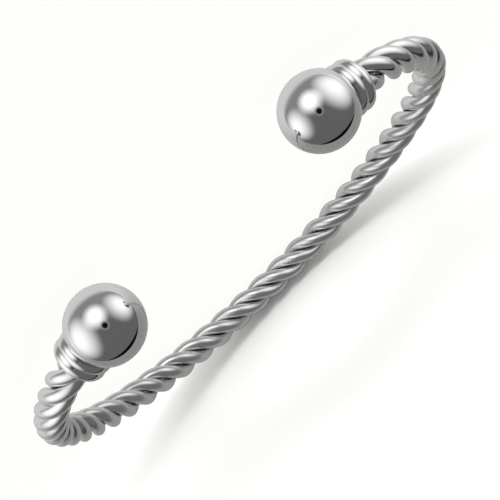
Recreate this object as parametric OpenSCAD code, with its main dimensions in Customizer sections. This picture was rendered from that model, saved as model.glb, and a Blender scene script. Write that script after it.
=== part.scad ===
// A torque bangle: three round wires laid into a rope, bent to an open oval,
// with a ringed collar and a ball on each end.
// It lies on its side. +X runs across the bangle, +Y from the opening to the back.
// The origin is on the surface it lies on, under the middle of the bangle.

/* [Oval] */
// Radius of the rope's middle line across the back
back_r = 33.5; // [29:0.5:40]
// Half of the angle that the back's arc turns through
back_angle = 50; // [44:1:60]
// Radius of the rope's middle line round each side
side_r = 26; // [23:0.5:30]
// Angle that each side's arc turns through
side_angle = 85; // [70:1:90]
// Radius of the rope's middle line where it turns in to the opening
front_r = 9; // [8:0.5:20]
// Angle that each front bend turns through
front_angle = 18; // [5:1:25]

/* [Rope] */
// Diameter of one wire
wire_d = 1.78; // [1.5:0.02:2]
// Clearance between neighbouring wires
wire_gap = 0.04; // [0.02:0.01:0.08]
// Length of rope in which a wire goes round once
lay = 11.2; // [10:0.1:14]
// Angle of the first wire at the middle of the back
lay_angle = 50; // [0:1:120]

/* [Collars] */
// Thickness of the sleeve round the rope's end
sleeve_wall = 0.3; // [0.2:0.05:0.5]
// Clearance between the rope and its socket
socket_gap = 0.05; // [0.03:0.01:0.1]
// Width of each raised ring
ring_w = 1.15; // [0.9:0.05:1.5]
// Depth of the groove between the rings
groove_depth = 0.3; // [0.2:0.05:0.4]
// Height of the ring by the ball above the sleeve
inner_ring_h = 0.8; // [0.6:0.05:0.9]
// Height of the ring by the rope above the sleeve
outer_ring_h = 0.75; // [0.5:0.05:0.9]
// Length of plain sleeve past the rings
lip = 0.3; // [0.2:0.05:0.6]
// Thickness of the web between the socket and the ball
web_t = 0.4; // [0.3:0.05:0.5]
// Length of straight rope between the collar and the bend
lead = 0.4; // [0.2:0.1:2]

/* [Balls] */
// Diameter of each ball
ball_d = 9; // [8.4:0.1:10]
// Clearance between a ball and its collar
seat_gap = 0.04; // [0.02:0.01:0.08]
// Diameter of the post that holds the ball
post_d = 2; // [1.6:0.1:2.6]
// Length of the post inside the ball
post_length = 4; // [3:0.5:5]

/* [Hidden] */
silver = [0.82, 0.82, 0.81];
$fn = 96;

// Wires: 10-sided, with enough rings round each turn of the lay to look round.
wires = 3;
wire_sides = 10;
rings_per_lay = 16;

// The wires lie on the smallest circle that keeps wire_gap between them on the tightest bend.
wire_r = wire_d / 2;
tight_lay = lay * (1 - wire_r / front_r);
wire_place_r = place_radius(wire_r, wire_d);
rope_r = wire_place_r + wire_r;

// Collar and ball, measured along their common axis from the ball's centre.
ball_r = ball_d / 2;
seat_r = ball_r + seat_gap;
socket_r = rope_r + socket_gap;
sleeve_r = socket_r + sleeve_wall;
inner_ring_r = sleeve_r + inner_ring_h;
outer_ring_r = sleeve_r + outer_ring_h;
crown_r = (pow(ring_w / 2, 2) + pow(groove_depth, 2)) / (2 * groove_depth);
inner_ring_at = sqrt(pow(seat_r, 2) - pow(inner_ring_r - groove_depth, 2)) + ring_w / 2;
outer_ring_at = inner_ring_at + ring_w;
collar_end = outer_ring_at + crown_r + lip;
socket_floor = seat_r + web_t;

// Middle line of the rope: three arcs a side, from the middle of the back, then straight
// through the collar to the ball's centre.
radii = [back_r, side_r, front_r];
angles = [back_angle, side_angle, front_angle];
last_arc = len(radii) - 1;
bend_end = arc_start(last_arc) + arc_length(last_arc);
end_turn = turn_before(last_arc) + front_angle;
ball_at = bend_end + lead + collar_end;

// The wires are cut square, so each end reaches past its middle by the slant of the lay.
wire_slant = atan(2 * PI * wire_place_r / lay);
wire_half = ball_at - socket_floor - socket_gap - wire_r * sin(wire_slant);

// Resting place: on both balls and on the back of the rope.
ball_place = line_point(ball_at);
depth = -ball_place[1];
rest_tilt = asin((ball_r - rope_r) / depth);
middle_y = (depth * cos(rest_tilt) + rope_r - ball_r) / 2;

// Arc k: its length, and the length, the turn and the centre that it starts from.
function arc_length(k) = radii[k] * angles[k] * PI / 180;
function arc_start(k) = k == 0 ? 0 : arc_start(k - 1) + arc_length(k - 1);
function turn_before(k) = k == 0 ? 0 : turn_before(k - 1) + angles[k - 1];
function arc_centre(k) =
    k == 0 ? [0, -back_r, 0]
    : arc_centre(k - 1) + (radii[k - 1] - radii[k]) * outward(turn_before(k));
function arc_at(u, k = 0) = k == last_arc || u < arc_start(k + 1) ? k : arc_at(u, k + 1);

// Distance from one wire to the next one, at a point that lies further along the rope by slide.
function neighbour_distance(radius, slide) =
    norm([2 * radius * sin(180 / wires - 180 * slide / tight_lay), slide]);

function nearest_neighbour(radius) =
    min([for (share = [0:0.02:1]) neighbour_distance(radius, share * tight_lay / wires)]);

// Halves the range from low to high until it closes on the radius at which neighbours clear.
function place_radius(low, high, rounds = 24) =
    let (middle = (low + high) / 2,
         too_close = nearest_neighbour(middle) < wire_d + wire_gap)
    rounds == 0 ? middle : place_radius(too_close ? middle : low, too_close ? high : middle, rounds - 1);

// Angle turned through at a length u from the middle of the back, and the curvature there.
function turned(u) =
    let (k = arc_at(u))
    min(end_turn, turn_before(k) + (u - arc_start(k)) / radii[k] * 180 / PI);
function curvature(u) = u < bend_end ? 1 / radii[arc_at(u)] : 0;

function outward(turn) = [sin(turn), cos(turn), 0];
function onward(turn) = [cos(turn), -sin(turn), 0];

// Point of the middle line on the right half, with the middle of the back at the origin.
function line_point(u) =
    let (k = arc_at(u))
    arc_centre(k) + radii[k] * outward(turned(u)) + max(0, u - bend_end) * onward(end_turn);

// Takes a vector of the right half to the side that s lies on.
function to_side(v, s) = [s < 0 ? -v[0] : v[0], v[1], v[2]];

// Ring of points round one wire, square to it, at a signed length s along the rope.
function wire_ring(number, s) =
    let (u = abs(s),
         out = to_side(outward(turned(u)), s),
         on = [out[1], -out[0], 0],
         angle = lay_angle + 360 * (s / lay + number / wires),
         spoke = cos(angle) * out + sin(angle) * [0, 0, 1],
         swing = -sin(angle) * out + cos(angle) * [0, 0, 1],
         heading = (1 + curvature(u) * wire_place_r * cos(angle)) * on + 2 * PI * wire_place_r / lay * swing,
         across = cross(heading / norm(heading), spoke),
         centre = to_side(line_point(u), s) + wire_place_r * spoke)
    [for (i = [0:wire_sides - 1])
        centre + wire_r * (cos(360 * i / wire_sides) * spoke + sin(360 * i / wire_sides) * across)];

// Lays the bangle's plane down at its resting tilt, with the middle of its footprint at the origin.
module resting() {
    translate([0, -middle_y, ball_r])
        rotate([-rest_tilt, 0, 0])
            translate([0, depth, 0])
                children();
}

// Takes a shape whose axis is +Z, from the ball to the rope, to the bangle's right end.
module right_end() {
    translate(ball_place)
        rotate([0, 90, 180 - end_turn])
            children();
}

module left_end() {
    mirror([1, 0, 0])
        right_end()
            children();
}

// The diagonals between the rings run along the wire, because the other ones would cut into it.
module wire(number) {
    rings = ceil(2 * wire_half / lay * rings_per_lay);
    points = [for (j = [0:rings]) each wire_ring(number, (2 * j / rings - 1) * wire_half)];
    walls = [for (j = [0:rings - 1], i = [0:wire_sides - 1])
        let (a = j * wire_sides + i,
             b = j * wire_sides + (i + 1) % wire_sides)
        each [[a, a + wire_sides, b], [b, a + wire_sides, b + wire_sides]]];
    first_cap = [for (i = [0:wire_sides - 1]) i];
    last_cap = [for (i = [wire_sides - 1:-1:0]) rings * wire_sides + i];
    resting()
        polyhedron(points, concat(walls, [first_cap, last_cap]), convexity = 10);
}

module raised_ring(place, radius) {
    translate([0, 0, place])
        rotate_extrude()
            translate([radius - crown_r, 0])
                circle(crown_r);
}

module collar() {
    difference() {
        union() {
            cylinder(r = sleeve_r, h = collar_end);
            raised_ring(inner_ring_at, inner_ring_r);
            raised_ring(outer_ring_at, outer_ring_r);
        }
        sphere(r = seat_r);
        translate([0, 0, socket_floor])
            cylinder(r = socket_r, h = collar_end);
    }
    translate([0, 0, ball_r - post_length])
        cylinder(d = post_d, h = post_length + seat_gap + web_t / 2);
}

module ball() {
    difference() {
        sphere(r = ball_r);
        translate([0, 0, ball_r - post_length - seat_gap])
            cylinder(r = post_d / 2 + seat_gap, h = ball_r);
    }
}

module strand_1() { color(silver) wire(0); }
module strand_2() { color(silver) wire(1); }
module strand_3() { color(silver) wire(2); }
module collar_left() { color(silver) resting() left_end() collar(); }
module collar_right() { color(silver) resting() right_end() collar(); }
module ball_left() { color(silver) resting() left_end() ball(); }
module ball_right() { color(silver) resting() right_end() ball(); }

strand_1();
strand_2();
strand_3();
collar_left();
collar_right();
ball_left();
ball_right();
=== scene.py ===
# %% [markdown]
# # A torque bangle in silver
# Three drawn silver wires are twisted into a rope, the rope is bent to an open oval, and each end
# carries a turned collar and a plain ball. It is worn by slipping the wrist in between the balls.
#
# Nearly everything that the eye reads as silver here is reflection. So this lesson has two halves:
# first true, smooth shapes, and then a studio that is worth mirroring.

# %% Load the frame
import math

import bpy
from mathutils import Matrix, Vector
from mathutils.kdtree import KDTree


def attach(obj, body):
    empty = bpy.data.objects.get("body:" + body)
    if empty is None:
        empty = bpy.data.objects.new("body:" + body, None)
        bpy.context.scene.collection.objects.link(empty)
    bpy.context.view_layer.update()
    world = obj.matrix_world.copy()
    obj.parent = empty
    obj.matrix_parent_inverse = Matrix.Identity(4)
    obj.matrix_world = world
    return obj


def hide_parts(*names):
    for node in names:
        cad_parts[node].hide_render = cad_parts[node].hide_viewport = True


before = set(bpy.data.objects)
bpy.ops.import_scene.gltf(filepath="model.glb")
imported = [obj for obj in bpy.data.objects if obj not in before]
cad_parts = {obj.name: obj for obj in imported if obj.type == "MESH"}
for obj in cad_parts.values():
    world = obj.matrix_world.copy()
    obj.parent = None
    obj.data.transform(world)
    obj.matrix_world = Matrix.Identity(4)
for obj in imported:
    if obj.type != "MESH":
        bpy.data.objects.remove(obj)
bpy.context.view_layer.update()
MM = 0.001

# %% [markdown]
# ## The line that everything hangs on
# A silversmith bends the rope round an oval mandrel. Its middle line is three arcs a side: a wide
# one across the back, one round each side, and a short tight one where the rope turns in to the
# opening. After that it runs straight through the collar to the middle of the ball.
#
# A curve could be drawn by hand for this, but arcs with real radii are what the mandrel gives, so
# one function walks along them. It starts in the middle of the back, and the left half mirrors
# the right one.

# %% The middle line
ARCS = [(33.5 * MM, math.radians(50)), (26 * MM, math.radians(85)), (9 * MM, math.radians(18))]
END_TURN = sum(angle for radius, angle in ARCS)
BEND_END = sum(radius * angle for radius, angle in ARCS)


def outward(turn):
    return Vector((math.sin(turn), math.cos(turn), 0))


def onward(turn):
    return Vector((math.cos(turn), -math.sin(turn), 0))


def middle_line(s):
    """The point at a signed length s from the middle of the back, and the way out of the oval there."""
    left, turn, point = abs(s), 0, Vector((0, 0, 0))
    for radius, angle in ARCS:
        step = min(left / radius, angle)
        point += radius * (outward(turn + step) - outward(turn))
        turn += step
        left -= step * radius
    point += left * onward(turn)
    side = Vector((-1 if s < 0 else 1, 1, 1))
    return point * side, outward(turn) * side


print("rope bent through", round(2 * math.degrees(END_TURN)), "degrees in all")

# %% [markdown]
# ## Sizes of the rope, the collar and the ball
# Each size is written once, as it would be on the workshop drawing, and the rest follows: the
# sleeve is as wide as the rope asks for, the rings stand on the sleeve, and the first ring sits
# where the ball is as wide as the ring's foot.

# %% Sizes along the bangle's end
WIRE_R = 0.89 * MM
WIRE_PLACE_R = 1.1415 * MM  # from the rope's middle line to a wire's
ROPE_R = WIRE_PLACE_R + WIRE_R
BALL_R = 4.5 * MM
SEAT_GAP = 0.04 * MM
SOCKET_GAP = 0.05 * MM
SLEEVE_WALL = 0.3 * MM
INNER_RING_H = 0.8 * MM
OUTER_RING_H = 0.75 * MM
RING_W = 1.15 * MM
GROOVE = 0.3 * MM
SLEEVE_LIP = 0.3 * MM  # plain sleeve past the rings
WEB = 0.4 * MM  # metal between the ball's seat and the rope's socket
LEAD = 0.4 * MM  # straight rope between the collar and the bend

SLEEVE_R = ROPE_R + SOCKET_GAP + SLEEVE_WALL
INNER_RING_R = SLEEVE_R + INNER_RING_H
OUTER_RING_R = SLEEVE_R + OUTER_RING_H
CROWN_R = ((RING_W / 2) ** 2 + GROOVE**2) / (2 * GROOVE)
SEAT_R = BALL_R + SEAT_GAP
INNER_RING_AT = math.sqrt(SEAT_R**2 - (INNER_RING_R - GROOVE) ** 2) + RING_W / 2
OUTER_RING_AT = INNER_RING_AT + RING_W
COLLAR_END = OUTER_RING_AT + CROWN_R + SLEEVE_LIP
BALL_AT = BEND_END + LEAD + COLLAR_END
print("from the back's middle to a ball's, along the rope:", round(BALL_AT / MM, 2), "mm")

# %% [markdown]
# ## How the bangle rests
# Laid on its side, the bangle touches the table with both balls and with the back of the rope. The
# balls are thicker than the rope, so its plane leans back by under three degrees. Every piece is
# modelled in that plane first, with the middle of the back at the origin, and one matrix then puts
# it down on the table.

# %% The resting place
ball_place, _ = middle_line(BALL_AT)
DEPTH = -ball_place.y
REST_TILT = math.asin((BALL_R - ROPE_R) / DEPTH)
MIDDLE_Y = (DEPTH * math.cos(REST_TILT) + ROPE_R - BALL_R) / 2
LAID_DOWN = (
    Matrix.Translation((0, -MIDDLE_Y, BALL_R))
    @ Matrix.Rotation(-REST_TILT, 4, "X")
    @ Matrix.Translation((0, DEPTH, 0))
)
print("the plane leans by", round(math.degrees(REST_TILT), 2), "degrees")

# %% [markdown]
# ## Two helpers at the bench
# Wire and lathe work both start as a line. It could be typed in as a list of vertices, but here a
# single vertex is extruded from point to point, as one would do by hand in edit mode.
#
# At the other end, a finished piece has its place baked into its mesh, so that its object sits
# unturned at the origin. Its loose seams are welded first, and then its faces can be pointed
# outwards, as a solid's should be. It is shaded smooth, but true edges stay crisp.

# %% Draw a line, finish a piece
TRUE_EDGE = math.radians(40)
SEAM = 0.001 * MM  # points nearer than this are welded


def drawn_line(points):
    """Extrudes one vertex through all the points."""
    bpy.ops.object.select_all(action="DESELECT")
    bpy.ops.mesh.primitive_plane_add(size=MM, location=(0, 0, 0))
    bpy.ops.object.mode_set(mode="EDIT")
    bpy.ops.mesh.merge(type="CENTER")
    bpy.ops.transform.translate(value=points[0])
    for here, there in zip(points, points[1:]):
        bpy.ops.mesh.extrude_region_move(TRANSFORM_OT_translate={"value": there - here})
    bpy.ops.mesh.select_all(action="SELECT")


def finished(obj, name, place):
    """Bakes the piece's place into its mesh, closes its seams and points its faces outwards."""
    bpy.ops.object.select_all(action="DESELECT")
    obj.select_set(True)
    bpy.context.view_layer.objects.active = obj
    obj.matrix_world = place @ obj.matrix_world
    bpy.ops.object.transform_apply(location=True, rotation=True, scale=True)
    bpy.ops.object.mode_set(mode="EDIT")
    bpy.ops.mesh.select_all(action="SELECT")
    bpy.ops.mesh.remove_doubles(threshold=SEAM)
    bpy.ops.mesh.normals_make_consistent(inside=False)
    bpy.ops.object.mode_set(mode="OBJECT")
    bpy.ops.object.shade_smooth_by_angle(angle=TRUE_EDGE)
    obj.name = obj.data.name = name
    print(name, "has", len(obj.data.polygons), "faces")
    return obj


# %% [markdown]
# ## Drawn wire
# Wire that has been pulled through a drawplate is round and smooth all along. The three wires of
# the rope each follow a screw line round the bent middle line.
#
# A twisted cylinder would look right at first, but twisting flattens its section. A curve with a
# round bevel keeps the wire's true thickness at every point, as the drawplate does. So each screw
# line is drawn first, made a curve, given its thickness and made a mesh again. At the front, the
# last stretch runs on inside the collar.

# %% The three strands
WIRES = 3
WIRE_STEP = 0.3 * MM  # from one drawn point to the next
WIRE_ROUNDING = 12
LAY = 11.2 * MM  # rope length in which a wire goes round once
LAY_ANGLE = math.radians(50)
WIRE_SLANT = math.atan(2 * math.pi * WIRE_PLACE_R / LAY)
SOCKET_FLOOR = SEAT_R + WEB
WIRE_HALF = BALL_AT - SOCKET_FLOOR - SOCKET_GAP - WIRE_R * math.sin(WIRE_SLANT)
STEPS = math.ceil(2 * WIRE_HALF / WIRE_STEP)
STATIONS = [(2 * i / STEPS - 1) * WIRE_HALF for i in range(STEPS + 1)]


def screw_point(number, s):
    """A point on the middle of one wire, in the bangle's own plane."""
    point, out = middle_line(s)
    angle = LAY_ANGLE + 2 * math.pi * (s / LAY + number / WIRES)
    return point + WIRE_PLACE_R * (math.cos(angle) * out + math.sin(angle) * Vector((0, 0, 1)))


def drawn_wire(name, number):
    drawn_line([screw_point(number, s) for s in STATIONS])
    bpy.ops.object.mode_set(mode="OBJECT")
    bpy.ops.object.convert(target="CURVE")
    line = bpy.context.object.data
    line.bevel_depth = WIRE_R
    line.bevel_resolution = WIRE_ROUNDING
    line.use_fill_caps = True
    bpy.ops.object.convert(target="MESH")
    return finished(bpy.context.object, name, LAID_DOWN)


strands = [drawn_wire(f"wire_{n + 1}", n) for n in range(WIRES)]

# %% [markdown]
# ## How deep a surface lies
# The silver is painted darker down in the grooves of the rope, as painted shade where the wires meet,
# and has to know later where that is. A mask could be painted by hand, but depth is easy to
# measure, so each vertex stores how far it lies from the rope's middle line.

# %% Measure the grooves
middle = KDTree(len(STATIONS))
for i, s in enumerate(STATIONS):
    middle.insert(LAID_DOWN @ middle_line(s)[0], i)
middle.balance()

for strand in strands:
    depth = strand.data.attributes.new("from_middle", "FLOAT", "POINT")
    for vertex, stored in zip(strand.data.vertices, depth.data):
        stored.value = middle.find(vertex.co)[2]
    print(strand.name, "reaches in to", round(min(stored.value for stored in depth.data) / MM, 2), "mm")

# %% [markdown]
# ## Turned work
# The collars and balls are lathe work: a profile that goes once round an axis. A cylinder with
# torus rings joined to it would leave hard seams where they meet. Here the profile is drawn as the
# turner's tool moves, and spin carries it round the axis. The axis is local Z with the ball's
# centre at the origin, and points on from the ball to the rope.

# %% Profile and spin
TURNS = 128
SIDES = ("left", "right")


def arc_points(centre_r, centre_z, radius, start, stop, steps):
    """Points of a profile arc, with angles in degrees from the direction away from the axis."""
    for i in range(steps + 1):
        angle = math.radians(start + (stop - start) * i / steps)
        yield centre_r + radius * math.cos(angle), centre_z + radius * math.sin(angle)


def turned_piece(profile):
    """Draws the profile and spins it round Z."""
    drawn_line([Vector((radius, 0, height)) for radius, height in profile])
    bpy.ops.mesh.spin(steps=TURNS, angle=2 * math.pi, center=(0, 0, 0), axis=(0, 0, 1))
    bpy.ops.object.mode_set(mode="OBJECT")
    return bpy.context.object


def end_place(side):
    """Puts a turned piece on the left or right end of the rope."""
    away = END_TURN if side == "left" else math.pi - END_TURN
    there = ball_place * Vector((-1 if side == "left" else 1, 1, 1))
    turn = Matrix.Rotation(away, 4, "Z") @ Matrix.Rotation(math.radians(90), 4, "Y")
    return LAID_DOWN @ Matrix.Translation(there) @ turn


def one_on_each_end(name, profile):
    return [finished(turned_piece(profile), f"{name}_{side}", end_place(side)) for side in SIDES]


# %% [markdown]
# ## Ball
# A plain ball, polished all over. It was bored from the side that the collar hides, and pushed on
# to the collar's post. The profile runs from the far pole round to the bore and down to its floor.

# %% The two balls
POST_R = 1 * MM
POST_LENGTH = 4 * MM
BORE_R = POST_R + SEAT_GAP
BALL_STEPS = 72
bore_edge = math.degrees(math.acos(BORE_R / BALL_R))
bore_floor = BALL_R - POST_LENGTH - SEAT_GAP
ball_profile = list(arc_points(0, 0, BALL_R, -90, bore_edge, BALL_STEPS))
ball_profile[0] = (0, -BALL_R)
ball_profile += [(BORE_R, bore_floor), (0, bore_floor)]

balls = one_on_each_end("polished_ball", ball_profile)

# %% [markdown]
# ## Collar
# The collar hides where rope becomes ball. It has two raised rings with rounded crowns, a sharp
# groove between them and a short plain sleeve that grips the rope. The bright lines that the
# photograph shows on it are the groove and the rims, so those edges are drawn true, with small
# rounded lips where a polishing wheel would have broken them.

# %% The two collars
LIP_ROUND = 0.08 * MM
LIP_STEPS = 5
SEAT_STEPS = 16
CROWN_STEPS = 20
SEAT_BREAK = 4  # degrees left off the first crown where it meets the seat
VALLEY_BREAK = 2  # degrees left off the second one at the bottom of the groove
SOCKET_R = ROPE_R + SOCKET_GAP
POST_FOOT = BALL_R - POST_LENGTH
VALLEY_R = INNER_RING_R - GROOVE


def crown(ring_r, at, start, stop):
    return list(arc_points(ring_r - CROWN_R, at, CROWN_R, start, stop, CROWN_STEPS))


def crown_angle(ring_r, radius):
    """Angle on a ring's crown at which it comes down to a radius."""
    return math.degrees(math.acos((radius - ring_r + CROWN_R) / CROWN_R))


seat_start, seat_stop = (math.degrees(math.acos(radius / SEAT_R)) for radius in (POST_R, VALLEY_R))
inner_edge = crown_angle(INNER_RING_R, VALLEY_R)
outer_edge = crown_angle(OUTER_RING_R, VALLEY_R)
sleeve_end = COLLAR_END - LIP_ROUND
collar_profile = (
    [(0, POST_FOOT), (POST_R, POST_FOOT)]
    + list(arc_points(0, 0, SEAT_R, seat_start, seat_stop, SEAT_STEPS))
    + crown(INNER_RING_R, INNER_RING_AT, -inner_edge + SEAT_BREAK, inner_edge)
    + crown(OUTER_RING_R, OUTER_RING_AT, -outer_edge + VALLEY_BREAK, crown_angle(OUTER_RING_R, SLEEVE_R))
    + list(arc_points(SLEEVE_R - LIP_ROUND, sleeve_end, LIP_ROUND, 0, 90, LIP_STEPS))
    + list(arc_points(SOCKET_R + LIP_ROUND, sleeve_end, LIP_ROUND, 90, 180, LIP_STEPS))
    + [(SOCKET_R, SOCKET_FLOOR), (0, SOCKET_FLOOR)]
)

collars = one_on_each_end("ringed_collar", collar_profile)

# %% [markdown]
# ## Polished silver
# Silver is the whitest metal, nearly without a colour of its own. A polished ball is a mirror, but
# never a perfect one: the buffing wheel leaves fine hairlines, and handling leaves a faint haze that
# comes and goes. So roughness wanders a little with a large soft noise, and a very fine bump breaks
# up the sharpest edges of a reflection. All patterns are on Object coordinates in metres, so their
# scale is the same on every piece.
#
# The back of the bangle rubs on the wrist and on the table, and is worn the most. An even finish
# would be simpler, but the wire's reflections are visibly softer there, so its roughness rises
# towards the back.

# %% One recipe for silver
SILVER = (0.915, 0.915, 0.912, 1)
HAZE_SIZE = 4 * MM
HAIRLINE_SIZE = 0.25 * MM
NOISE_LOW, NOISE_HIGH = 0.3, 0.7  # a noise seldom leaves this range
WORN_FROM, WORN_FULL = -20 * MM, 10 * MM  # along Y, which runs to the back


def add(tree, kind, inputs):
    """Adds a shader node and sets each named or numbered input to a value, or links a socket to it."""
    node = tree.nodes.new(f"ShaderNode{kind}")
    for key, value in inputs.items():
        if isinstance(value, bpy.types.NodeSocket):
            tree.links.new(value, node.inputs[key])
        else:
            node.inputs[key].default_value = value
    return node


def ramp(tree, value, start, stop, low=0, high=1, soft=False):
    """Goes from low to high while the value goes from start to stop, evenly or with soft ends."""
    limits = {"From Min": start, "From Max": stop, "To Min": low, "To Max": high}
    node = add(tree, "MapRange", {"Value": value, **limits})
    node.interpolation_type = "SMOOTHSTEP" if soft else "LINEAR"
    return node.outputs["Result"]


def polished_silver(name, smoothest, haziest, scratch, worn=0):
    """A metal whose roughness wanders between two values, and rises by worn towards the back."""
    material = bpy.data.materials.new(name)
    material.use_nodes = True
    tree = material.node_tree
    metal = tree.nodes["Principled BSDF"]
    metal.inputs["Base Color"].default_value = SILVER
    metal.inputs["Metallic"].default_value = 1
    place = tree.nodes.new("ShaderNodeTexCoord").outputs["Object"]
    haze = add(tree, "TexNoise", {"Vector": place, "Scale": 1 / HAZE_SIZE, "Detail": 3})
    roughness = ramp(tree, haze.outputs["Fac"], NOISE_LOW, NOISE_HIGH, smoothest, haziest)
    if worn:
        y = add(tree, "SeparateXYZ", {"Vector": place}).outputs["Y"]
        wear = ramp(tree, y, WORN_FROM, WORN_FULL, 0, worn)
        roughness = add(tree, "Math", {0: wear, 1: roughness}).outputs["Value"]
    tree.links.new(roughness, metal.inputs["Roughness"])
    hairlines = add(tree, "TexNoise", {"Vector": place, "Scale": 1 / HAIRLINE_SIZE, "Detail": 4})
    bump = add(tree, "Bump", {"Height": hairlines.outputs["Fac"], "Strength": 1, "Distance": scratch})
    tree.links.new(bump.outputs["Normal"], metal.inputs["Normal"])
    return material


mirror_silver = polished_silver("mirror_silver", 0.03, 0.07, 0.0004 * MM)
turned_silver = polished_silver("turned_silver", 0.05, 0.1, 0.0006 * MM)
wire_silver = polished_silver("wire_silver", 0.1, 0.15, 0.001 * MM, worn=0.13)
print("three kinds of silver mixed")

# %% [markdown]
# ## Painted shade in the grooves
# The grooves of the rope are painted a soft grey, a painted shade where the wires meet, and that grey is
# what makes its lay read from afar. A noise would scatter it anywhere. The stored distance from the middle
# line puts it where it
# belongs: darkest where two wires meet, and none on the crowns.

# %% Paint shade into the grooves
# The grey below is painted shade, mixed into the silver's colour down in the grooves where the wires meet.
PAINTED_GROOVE_SHADE = (0.42, 0.42, 0.42, 1)
FULL_SHADE_TO, NO_SHADE_FROM = 0.9 * MM, 1.4 * MM  # out from the rope's middle line
tree = wire_silver.node_tree
from_middle = tree.nodes.new("ShaderNodeAttribute")
from_middle.attribute_name = "from_middle"
unshaded = ramp(tree, from_middle.outputs["Fac"], FULL_SHADE_TO, NO_SHADE_FROM)
tone = add(tree, "Mix", {0: unshaded, 6: PAINTED_GROOVE_SHADE, 7: SILVER})
tone.data_type = "RGBA"
tree.links.new(tone.outputs[2], tree.nodes["Principled BSDF"].inputs["Base Color"])
# The grey laid in the grooves is painted shade.
print("tarnish laid in the grooves")

# %% [markdown]
# ## Dressing the pieces
# Each finished piece takes its silver and stands for one solid of the frame. The bangle has no
# joint, so all seven ride on its one body.

# %% Dress the pieces and hide the solids they stand for
for piece, node in zip(strands, ("strand_1", "strand_2", "strand_3")):
    piece.data.materials.append(wire_silver)
    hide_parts(node)
for side, ball, collar in zip(SIDES, balls, collars):
    ball.data.materials.append(mirror_silver)
    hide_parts(f"ball_{side}")
    collar.data.materials.append(turned_silver)
    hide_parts(f"collar_{side}")
for piece in strands + balls + collars:
    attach(piece, "root")
print(len(strands + balls + collars), "pieces dressed in silver")

# %% [markdown]
# ## A studio worth mirroring
# A ball mirrors the whole room, so the room makes the picture. The photograph's balls show theirs
# plainly: a soft light close by on each side, a wide one low at the front, a dark ceiling, and a
# sheet of paper behind, whose far edge draws a thin black arc near the rim.
#
# Lamps alone would leave the metal black between them. So the far room is painted on the world,
# where every direction has its own brightness, and only the lights are sheets that stand in it.
# The room is painted in round patches: each has a middle, straight ahead at some elevation, and a
# radius in degrees.

# %% Brushes for the room
PAPER_WHITE = (0.991, 0.987, 0.965, 1)
world = bpy.data.worlds.new("studio")
bpy.context.scene.world = world
world.use_nodes = True
air = world.node_tree
air.nodes.clear()
direction = air.nodes.new("ShaderNodeTexCoord").outputs["Generated"]


def along(axis):
    """How far a direction points along an axis, from -1 to 1."""
    dot = add(air, "VectorMath", {0: direction, 1: axis})
    dot.operation = "DOT_PRODUCT"
    return dot.outputs["Value"]


def patch(elevation, radius, softness):
    """1 inside a round patch of the room and 0 outside it, with all angles in degrees."""
    e = math.radians(elevation)
    outer, inner = (math.cos(math.radians(radius + half)) for half in (softness / 2, -softness / 2))
    return ramp(air, along((0, math.cos(e), math.sin(e))), outer, inner, soft=True)


def paint(share, under, over):
    """Covers one brightness with another where share is 1."""
    return add(air, "Mix", {0: share, 2: under, 3: over}).outputs[0]


def cover(tree, share, under, over):
    """Puts one shader over another where share is 1."""
    return add(tree, "MixShader", {0: share, 1: under, 2: over}).outputs[0]


# %% [markdown]
# ## The painted room
# The paper brightens towards the floor and swings forward under the bangle. A black patch is
# painted next and the paper's once more over it, so that black looks out at the upper edge alone:
# that is the arc on the balls.
#
# Only mirrored rays see the room. The camera sees plain white. The backdrop takes its light mostly
# from below, through the floor, because the photograph's shadow is darkest just above the rope,
# where it touches the paper.

# %% Paint the room
FAR_ROOM = (0.24, 0.12)  # brightness below and above
PAPER = (0.63, 0.27)
SHED = (2.1, 0.35)
BLACK = 0.002

height = along((0, 0, 1))
room = ramp(air, height, -0.8, 0.45, *FAR_ROOM, soft=True)
paper = ramp(air, height, -0.6, 0.4, *PAPER, soft=True)
room = paint(patch(-50, 46, 26), room, paper)
room = paint(patch(19, 52, 2), room, BLACK)
room = paint(patch(-12, 71, 2), room, paper)

rays = air.nodes.new("ShaderNodeLightPath").outputs
shed = paint(rays["Is Diffuse Ray"], 1, ramp(air, height, -0.4, 0.3, *SHED, soft=True))
plain = add(air, "Background", {"Color": PAPER_WHITE, "Strength": shed}).outputs[0]
mirrored = add(air, "Background", {"Color": room}).outputs[0]
add(air, "OutputWorld", {"Surface": cover(air, rays["Is Glossy Ray"], plain, mirrored)})
print("room painted with", len(air.nodes), "nodes")

# %% [markdown]
# ## Soft lights
# In a studio these are lamps behind stretched cloth. Each is a sheet here that glows in its middle
# and fades out towards its rim, because a hard edge would show in the balls. They stand where the
# two balls' highlights cross: the left ball sees the left light larger, and the right ball the
# right one, so those two are near.

# %% Three sheets of light
def hide_from(obj, *kinds):
    """Leaves an object out of what some kinds of rays see."""
    for kind in kinds:
        setattr(obj, f"visible_{kind}", False)


def sheet(name, place, radius):
    """A sheet seen in reflections alone, facing the bangle: its nodes, and how far out each point lies."""
    bpy.ops.mesh.primitive_plane_add(size=2, location=place)
    obj = bpy.context.object
    obj.name = name
    obj.rotation_euler = (-Vector(place)).to_track_quat("Z", "Y").to_euler()
    obj.scale = (radius, radius, 1)
    hide_from(obj, "camera", "diffuse", "transmission", "shadow")
    material = bpy.data.materials.new(name)
    material.use_nodes = True
    obj.data.materials.append(material)
    tree = material.node_tree
    tree.nodes.clear()
    reach = add(tree, "VectorMath", {0: tree.nodes.new("ShaderNodeTexCoord").outputs["Object"]})
    reach.operation = "LENGTH"
    return tree, reach.outputs["Value"]


def soft_light(name, place, radius, strength):
    tree, reach = sheet(name, place, radius)
    glow = add(tree, "Emission", {"Strength": ramp(tree, reach, 1, -0.05, 0, strength, soft=True)})
    clear = tree.nodes.new("ShaderNodeBsdfTransparent")
    both = add(tree, "AddShader", {0: glow.outputs[0], 1: clear.outputs[0]})
    add(tree, "OutputMaterial", {"Surface": both.outputs[0]})
    print(name, "stands", round(Vector(place).length, 3), "m away")


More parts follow.
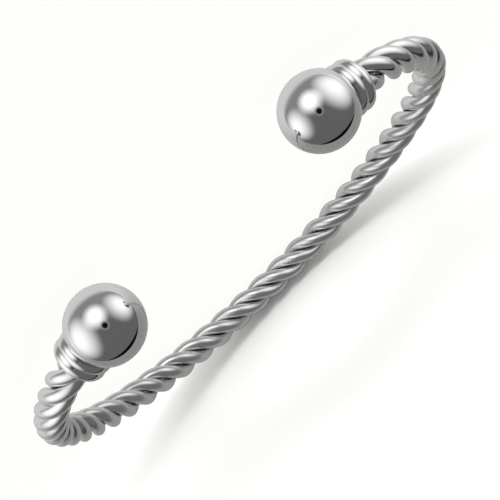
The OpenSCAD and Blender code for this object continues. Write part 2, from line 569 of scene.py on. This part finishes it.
soft_light("light_left", (-80 * MM, -44 * MM, -4 * MM), 93 * MM, 1.05)
soft_light("light_right", (80 * MM, -44 * MM, -4 * MM), 93 * MM, 1.05)
soft_light("light_front", (0, -207 * MM, -64 * MM), 165 * MM, 1.3)

# %% [markdown]
# ## Floor
# A sheet of pale paper lies under the bangle. A glossy one would double every piece, so it is matt.
# Most of its brightness is a glow of its own, which keeps the shadows round the balls as faint as
# in a bright studio. It stays out of the reflections, where the room has a paper of its own.

# %% Floor
PAPER_RADIUS = 3


def matt_paper(name, place, turn, glow, share):
    """A round sheet of paper that gives back a share of the light on it and adds a glow of its own."""
    bpy.ops.object.select_all(action="DESELECT")
    bpy.ops.mesh.primitive_circle_add(
        vertices=96, radius=PAPER_RADIUS, fill_type="NGON", location=place, rotation=turn
    )
    obj = bpy.context.object
    obj.name = name
    material = bpy.data.materials.new(name)
    material.use_nodes = True
    obj.data.materials.append(material)
    matt = material.node_tree.nodes["Principled BSDF"].inputs
    matt["Base Color"].default_value = (share, share, share, 1)
    matt["Roughness"].default_value = 1
    matt["Specular IOR Level"].default_value = 0
    matt["Emission Color"].default_value = PAPER_WHITE
    matt["Emission Strength"].default_value = glow
    return obj, material.node_tree


floor, _ = matt_paper("floor", (0, 0, 0), (0, 0, 0), glow=0.95, share=0.08)
hide_from(floor, "shadow", "glossy", "diffuse")
print("floor at z =", floor.location.z)

# %% [markdown]
# ## Backdrop
# A second sheet stands just behind the bangle, nearly touching the rope's back, and carries the
# shadow that the photograph shows there. From behind it is clear, so that it hides nothing when
# the bangle is looked at from there.
#
# The silver mirrors the part of it that is near, dimmed towards the top, and further out it gives
# way softly to the painted room. Two sheets of paper would meet in a visible edge otherwise.

# %% Backdrop
BACKDROP_AT = 29.2 * MM
MIRRORED_TO, GONE_FROM = 45 * MM, 75 * MM  # out from the middle of the sheet
DIM_LOW, DIM_HIGH = -60 * MM, 45 * MM
DIM_SHARES = (0.54, 0.24)  # what the silver sees of its light, low and high

backdrop, tree = matt_paper("backdrop", (0, BACKDROP_AT, 0), (math.radians(90), 0, 0), glow=0, share=0.76)
lit = tree.nodes["Principled BSDF"].outputs["BSDF"]
clear = tree.nodes.new("ShaderNodeBsdfTransparent").outputs["BSDF"]
black = add(tree, "BsdfDiffuse", {"Color": (0, 0, 0, 1)}).outputs["BSDF"]
spot = tree.nodes.new("ShaderNodeTexCoord").outputs["Object"]
up = add(tree, "SeparateXYZ", {"Vector": spot}).outputs["Y"]
reach = add(tree, "VectorMath", {0: spot})
reach.operation = "LENGTH"
near = ramp(tree, reach.outputs["Value"], GONE_FROM, MIRRORED_TO, soft=True)
dimmed = cover(tree, ramp(tree, up, DIM_LOW, DIM_HIGH, *DIM_SHARES, soft=True), black, lit)
in_silver = cover(tree, near, clear, dimmed)
looks = cover(tree, tree.nodes.new("ShaderNodeLightPath").outputs["Is Glossy Ray"], lit, in_silver)
looks = cover(tree, tree.nodes.new("ShaderNodeNewGeometry").outputs["Backfacing"], looks, clear)
tree.links.new(looks, tree.nodes["Material Output"].inputs["Surface"])

# %% [markdown]
# ## The lamp that throws the band of shadow
# The photograph's shadow is a soft arc that starts where the rope touches the paper and spreads to
# both sides, and the balls throw none. A small lamp would throw both, and a broad one neither. A
# long narrow softbox, low in front, does what is wanted: it is narrow across the arc, which keeps
# the arc crisp, and so wide sideways that it smears the balls' shadows away.

# %% Shadow lamp
LAMP_BELOW = math.radians(15)
LAMP_AWAY = 0.5
LAMP_LONG, LAMP_NARROW = 0.5, 0.055
LAMP_WATTS = 1.35

bpy.ops.object.light_add(
    type="AREA",
    location=(0, -LAMP_AWAY * math.cos(LAMP_BELOW), -LAMP_AWAY * math.sin(LAMP_BELOW)),
    rotation=(math.pi / 2 + LAMP_BELOW, 0, 0),
)
lamp = bpy.context.object
lamp.name = "shadow_lamp"
lamp.data.shape = "RECTANGLE"
lamp.data.size = LAMP_LONG
lamp.data.size_y = LAMP_NARROW
lamp.data.energy = LAMP_WATTS
lamp.data.color = PAPER_WHITE[:3]
hide_from(lamp, "glossy")
print("the lamp shines up by", round(math.degrees(LAMP_BELOW)), "degrees")

# %% [markdown]
# ## Camera
# The photograph was taken from close to the bangle's own plane, through the opening, with the
# camera turned on its side by more than a right angle: that is why the back of the rope runs from
# corner to corner. The lens and place were worked out from the outlines of the balls and the rope.

# %% Camera
CAMERA_PLACE = Vector((-2.36, -152.26, 43.11)) * MM
CAMERA_PAN = math.radians(-0.832)
CAMERA_DOWN = math.radians(14.602)
CAMERA_ROLL = math.radians(135.224)
FOCAL_LENGTH = 91.17  # in millimetres, as the sensor's width
SENSOR_WIDTH = 36

bpy.ops.object.camera_add()
camera = bpy.context.object
camera.matrix_world = (
    Matrix.Translation(CAMERA_PLACE)
    @ Matrix.Rotation(CAMERA_PAN, 4, "Z")
    @ Matrix.Rotation(math.pi / 2 - CAMERA_DOWN, 4, "X")
    @ Matrix.Rotation(CAMERA_ROLL, 4, "Z")
)
camera.data.lens = FOCAL_LENGTH
camera.data.sensor_width = SENSOR_WIDTH
camera.data.clip_start = 0.005
bpy.context.scene.camera = camera
bpy.context.scene.view_settings.view_transform = "Standard"
print("camera", round(CAMERA_PLACE.length, 3), "m away")

# %% [markdown]
# ## The lens in the mirror
# A mirror ball also shows the camera, as a small dark spot in its middle with a pale rim. It is one
# more sheet, where the camera stands, seen in reflections alone and glowing with painted greys: black
# glass inside, grey housing round it, and a painted highlight, a bright ring where the light would catch
# the front rim.

# %% Lens
LENS_RADIUS = 30 * MM
# Greys of the glow painted on the lens sheet; the rim's is a painted highlight.
GLASS, HOUSING, RIM_HIGHLIGHT = 0.004, 0.2, 0.4

tree, reach = sheet("lens", tuple(CAMERA_PLACE), LENS_RADIUS)
glass = add(tree, "ValToRGB", {"Fac": reach})
glass.color_ramp.interpolation = "EASE"
stops = glass.color_ramp.elements
stops[0].position = 0.5
stops[1].position = 0.68
for position in (0.82, 0.9, 1):
    stops.new(position)
for stop, grey in zip(stops, (GLASS, HOUSING, HOUSING, RIM_HIGHLIGHT, HOUSING)):
    stop.color = (grey, grey, grey, 1)
shine = add(tree, "Emission", {"Color": glass.outputs["Color"]}).outputs[0]
clear = tree.nodes.new("ShaderNodeBsdfTransparent").outputs[0]
looks = cover(tree, ramp(tree, reach, 1, 0.85, soft=True), clear, shine)
add(tree, "OutputMaterial", {"Surface": looks})
print("lens sheet with", len(stops), "tones")
